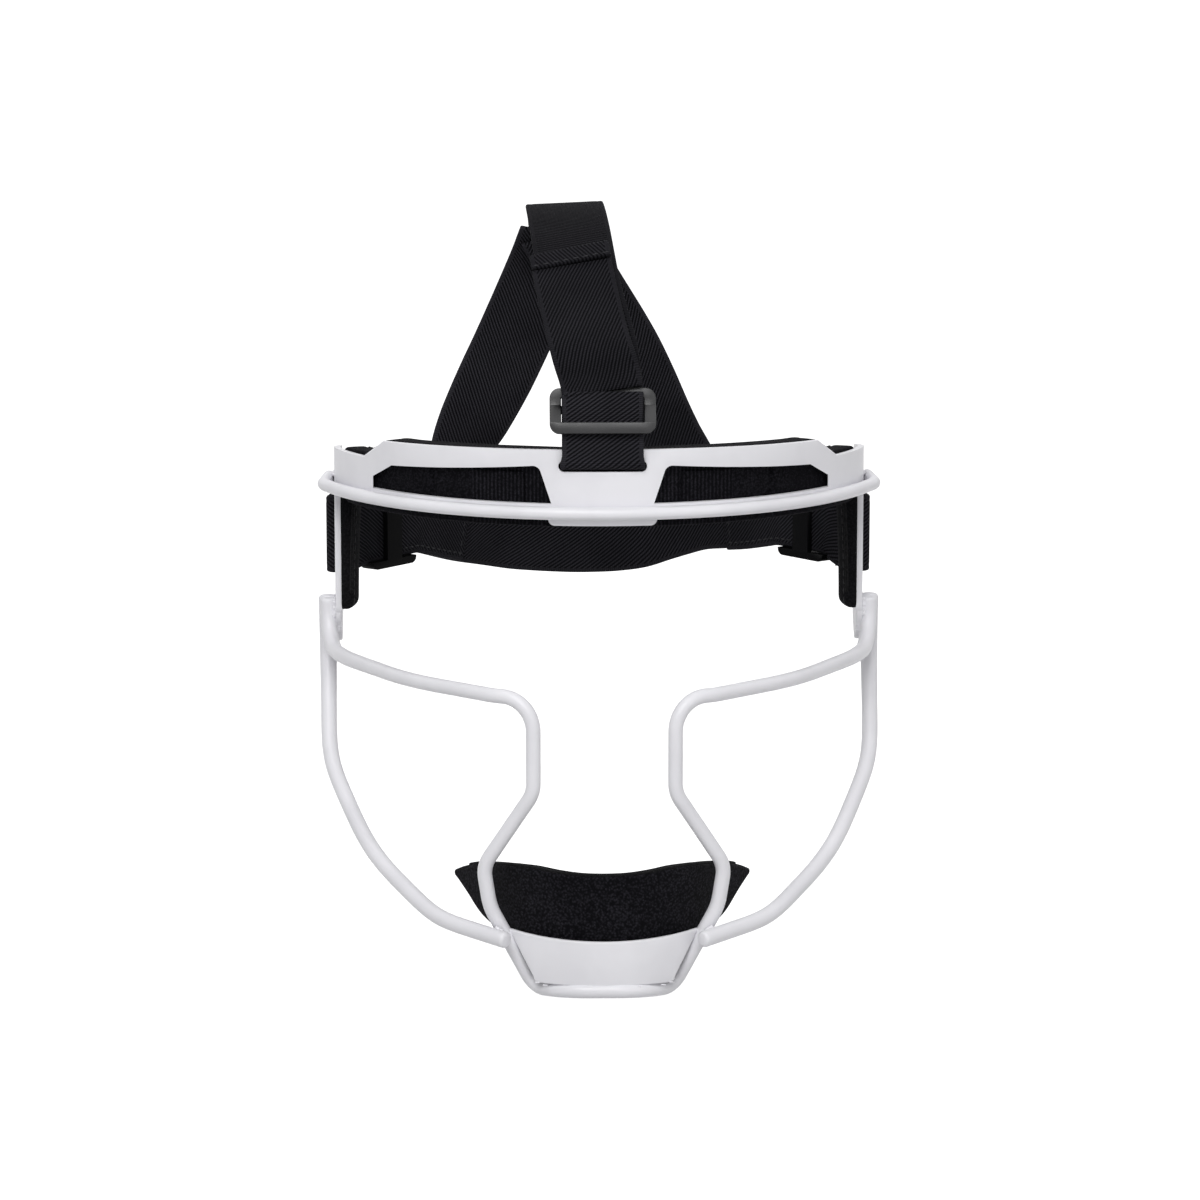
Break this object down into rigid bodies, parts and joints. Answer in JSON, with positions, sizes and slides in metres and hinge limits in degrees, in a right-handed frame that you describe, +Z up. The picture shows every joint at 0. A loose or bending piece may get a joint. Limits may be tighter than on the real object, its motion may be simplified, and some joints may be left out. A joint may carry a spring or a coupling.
{
  "type": "softball face guard",
  "caption": "Fielder's face guard: bent-wire cage on a windowed wrap-round forehead band, foam pads and an adjustable elastic head harness",
  "frame": {"origin": "middle of the forehead pad's inner face, at the height of the brow wire, where the wearer's forehead rests", "axes": "+Z up, -Y forward away from the face, +X to the right in the front view (the wearer's left)"},
  "size_m": [0.1832, 0.1864, 0.2388],
  "materials": {
    "white_coat": "satin white powder coat over steel",
    "pad_fabric": "black brushed knit over foam",
    "hook_and_loop": "black hook-and-loop fastener",
    "webbing": "black elastic twill webbing",
    "black_plastic": "satin black moulded plastic"
  },
  "bodies": {
    "cage": {"forehead_band": "white_coat", "brow_wire": "white_coat", "face_wire": "white_coat", "left_jaw_wire": "white_coat", "right_jaw_wire": "white_coat", "chin_plate": "white_coat", "forehead_pad": "pad_fabric", "left_side_pad": "pad_fabric", "right_side_pad": "pad_fabric", "chin_pad": "pad_fabric", "brow_hook_patches": "hook_and_loop", "left_side_hook_patch": "hook_and_loop", "right_side_hook_patch": "hook_and_loop", "chin_hook_patch": "hook_and_loop", "band_loop_strap": "webbing", "crown_strap": "webbing", "tail_strap": "webbing"},
    "slider": {"strap_slider": "black_plastic"},
    "harness": {"left_temple_strap": "webbing", "right_temple_strap": "webbing", "rear_strap": "webbing", "left_crown_arm": "webbing", "right_crown_arm": "webbing"},
    "left_guide": {"left_strap_guide": "black_plastic"},
    "right_guide": {"right_strap_guide": "black_plastic"}
  },
  "joints": [
    {"name": "harness_swing", "type": "hinge", "parent": "cage", "child": "harness", "pos_m": [0, 0.06675, -0.0193], "axis": [1, 0, 0], "range_deg": [-5, 6], "stiffness_Nm_per_rad": 0.5, "deforming": ["crown_strap", "tail_strap"]},
    {"name": "slider_slide", "type": "slide", "parent": "cage", "child": "slider", "axis": [0, 0.2419, 0.9703], "range_m": [-0.0005, 0.006]},
    {"name": "left_guide_slide", "type": "slide", "parent": "harness", "child": "left_guide", "axis": [0.6198, 0.7848, 0], "range_m": [0, 0.005]},
    {"name": "right_guide_slide", "type": "slide", "parent": "harness", "child": "right_guide", "axis": [-0.6198, 0.7848, 0], "range_m": [0, 0.005]}
  ]
}
